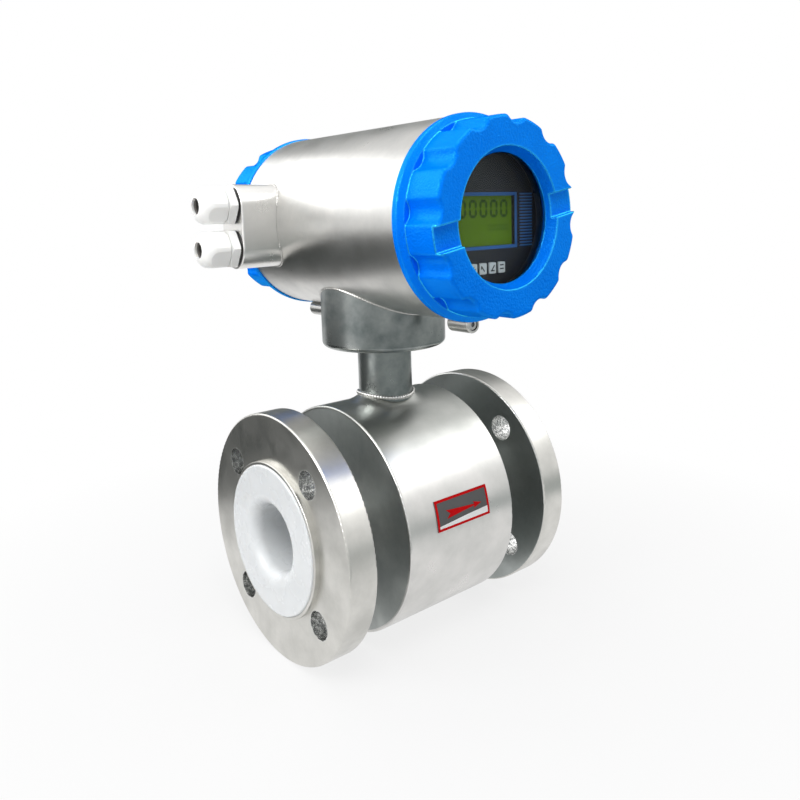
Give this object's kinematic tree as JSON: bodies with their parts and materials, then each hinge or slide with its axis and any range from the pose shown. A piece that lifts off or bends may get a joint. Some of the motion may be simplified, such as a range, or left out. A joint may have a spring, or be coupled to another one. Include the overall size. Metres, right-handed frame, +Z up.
{
  "type": "electromagnetic flow meter",
  "caption": "Flanged electromagnetic flow meter: lined tube in a drum, neck, and a round head with display, screwed covers and cable glands.",
  "frame": {"origin": "on the pipe axis, midway between the liner faces, under the centre of the neck", "axes": "+X along the flow from inlet to outlet, -Y towards the display, +Z up along the neck"},
  "size_m": [0.2128, 0.2365, 0.348],
  "materials": {
    "satin_stainless": "satin, bead blasted",
    "screw_steel": "plain",
    "blue_paint": "textured enamel",
    "ptfe": "white, waxy",
    "white_nylon": "moulded",
    "black_rubber": "matt",
    "window_glass": "clear",
    "black_anodised": "black, satin",
    "black_plastic": "satin black",
    "lcd_green": "glossy green",
    "key_white": "satin",
    "circuit_board": "lacquered green",
    "brass_spacer": "plain",
    "copper_coil": "enamelled winding",
    "magnet_iron": "plain",
    "bush_plastic": "natural",
    "cable_grey": "matt",
    "arrow_label": "printed foil"
  },
  "bodies": {
    "meter": {"measuring_tube": "satin_stainless", "inlet_flange": "satin_stainless", "outlet_flange": "satin_stainless", "drum_shell": "satin_stainless", "drum_end_inlet": "satin_stainless", "drum_end_outlet": "satin_stainless", "neck_tube": "satin_stainless", "neck_weld_bead": "satin_stainless", "collar_cup": "satin_stainless", "housing_shell": "satin_stainless", "gland_boss": "satin_stainless", "bulkhead": "satin_stainless", "lock_lug_front": "satin_stainless", "lock_lug_rear": "satin_stainless", "electrode_nuts": "screw_steel", "electrode_front": "screw_steel", "electrode_rear": "screw_steel", "carrier_pillars": "screw_steel", "carrier_screws": "screw_steel", "board_screws": "screw_steel", "earth_screw": "screw_steel", "terminal_screws": "screw_steel", "liner": "ptfe", "gland_body_upper": "white_nylon", "gland_body_lower": "white_nylon", "gland_washers": "black_rubber", "display_panel": "black_plastic", "electronics_carrier": "black_plastic", "terminal_block": "black_plastic", "lcd_module": "lcd_green", "display_board": "circuit_board", "main_board": "circuit_board", "power_board": "circuit_board", "board_spacers": "brass_spacer", "coil_upper": "copper_coil", "coil_lower": "copper_coil", "pole_shoe_upper": "magnet_iron", "pole_shoe_lower": "magnet_iron", "yoke": "magnet_iron", "power_transformer": "magnet_iron", "electrode_bush_front": "bush_plastic", "electrode_bush_rear": "bush_plastic", "sensor_cable": "cable_grey", "flow_arrow_plate": "arrow_label"},
    "front_cover_lift": {"cover_seal_front": "black_rubber"},
    "front_cover_turn": {"front_cover": "blue_paint", "cover_glass": "window_glass", "glass_retainer": "black_anodised"},
    "rear_cover_lift": {"cover_seal_rear": "black_rubber"},
    "rear_cover_turn": {"rear_cover": "blue_paint"},
    "gland_seal_upper": {"gland_seal_upper": "black_rubber"},
    "gland_nut_upper": {"gland_nut_upper": "white_nylon"},
    "gland_seal_lower": {"gland_seal_lower": "black_rubber"},
    "gland_nut_lower": {"gland_nut_lower": "white_nylon"},
    "key_1": {"key_1": "key_white"},
    "key_2": {"key_2": "key_white"},
    "key_3": {"key_3": "key_white"},
    "key_4": {"key_4": "key_white"},
    "lock_screw_front": {"lock_screw_front": "screw_steel"},
    "lock_screw_rear": {"lock_screw_rear": "screw_steel"}
  },
  "joints": [
    {"name": "front_cover_travel", "type": "slide", "parent": "meter", "child": "front_cover_lift", "axis": [0, -1, 0], "range_m": [0, 0.01]},
    {"name": "front_cover_unscrew", "type": "hinge", "parent": "front_cover_lift", "child": "front_cover_turn", "pos_m": [0, -0.0885, 0.203], "axis": [0, -1, 0], "range_deg": [0, 1800]},
    {"name": "lock_screw_front_turn", "type": "hinge", "parent": "meter", "child": "lock_screw_front", "pos_m": [0.006, -0.0805, 0.1371], "axis": [0, -1, 0], "range_deg": [0, 720]},
    {"name": "rear_cover_travel", "type": "slide", "parent": "meter", "child": "rear_cover_lift", "axis": [0, 1, 0], "range_m": [0, 0.01]},
    {"name": "rear_cover_unscrew", "type": "hinge", "parent": "rear_cover_lift", "child": "rear_cover_turn", "pos_m": [0, 0.082, 0.203], "axis": [0, 1, 0], "range_deg": [0, 1800]},
    {"name": "lock_screw_rear_turn", "type": "hinge", "parent": "meter", "child": "lock_screw_rear", "pos_m": [-0.006, 0.074, 0.1371], "axis": [0, 1, 0], "range_deg": [0, 720]},
    {"name": "gland_upper_travel", "type": "slide", "parent": "meter", "child": "gland_seal_upper", "axis": [-1, 0, 0], "range_m": [0, 0.006]},
    {"name": "gland_upper_unscrew", "type": "hinge", "parent": "gland_seal_upper", "child": "gland_nut_upper", "pos_m": [-0.1, 0.05, 0.21585], "axis": [-1, 0, 0], "range_deg": [0, 1440]},
    {"name": "gland_lower_travel", "type": "slide", "parent": "meter", "child": "gland_seal_lower", "axis": [-1, 0, 0], "range_m": [0, 0.006]},
    {"name": "gland_lower_unscrew", "type": "hinge", "parent": "gland_seal_lower", "child": "gland_nut_lower", "pos_m": [-0.1, 0.05, 0.18735], "axis": [-1, 0, 0], "range_deg": [0, 1440]},
    {"name": "key_1_press", "type": "slide", "parent": "meter", "child": "key_1", "axis": [0, 1, 0], "range_m": [0, 0.0006], "stiffness_N_per_m": 600},
    {"name": "key_2_press", "type": "slide", "parent": "meter", "child": "key_2", "axis": [0, 1, 0], "range_m": [0, 0.0006], "stiffness_N_per_m": 600},
    {"name": "key_3_press", "type": "slide", "parent": "meter", "child": "key_3", "axis": [0, 1, 0], "range_m": [0, 0.0006], "stiffness_N_per_m": 600},
    {"name": "key_4_press", "type": "slide", "parent": "meter", "child": "key_4", "axis": [0, 1, 0], "range_m": [0, 0.0006], "stiffness_N_per_m": 600}
  ],
  "couplings": [
    {"joint": "front_cover_travel", "follows": "front_cover_unscrew", "m_per_rad": 0.0003183},
    {"joint": "rear_cover_travel", "follows": "rear_cover_unscrew", "m_per_rad": 0.0003183},
    {"joint": "gland_upper_travel", "follows": "gland_upper_unscrew", "m_per_rad": 0.00023873},
    {"joint": "gland_lower_travel", "follows": "gland_lower_unscrew", "m_per_rad": 0.00023873}
  ]
}
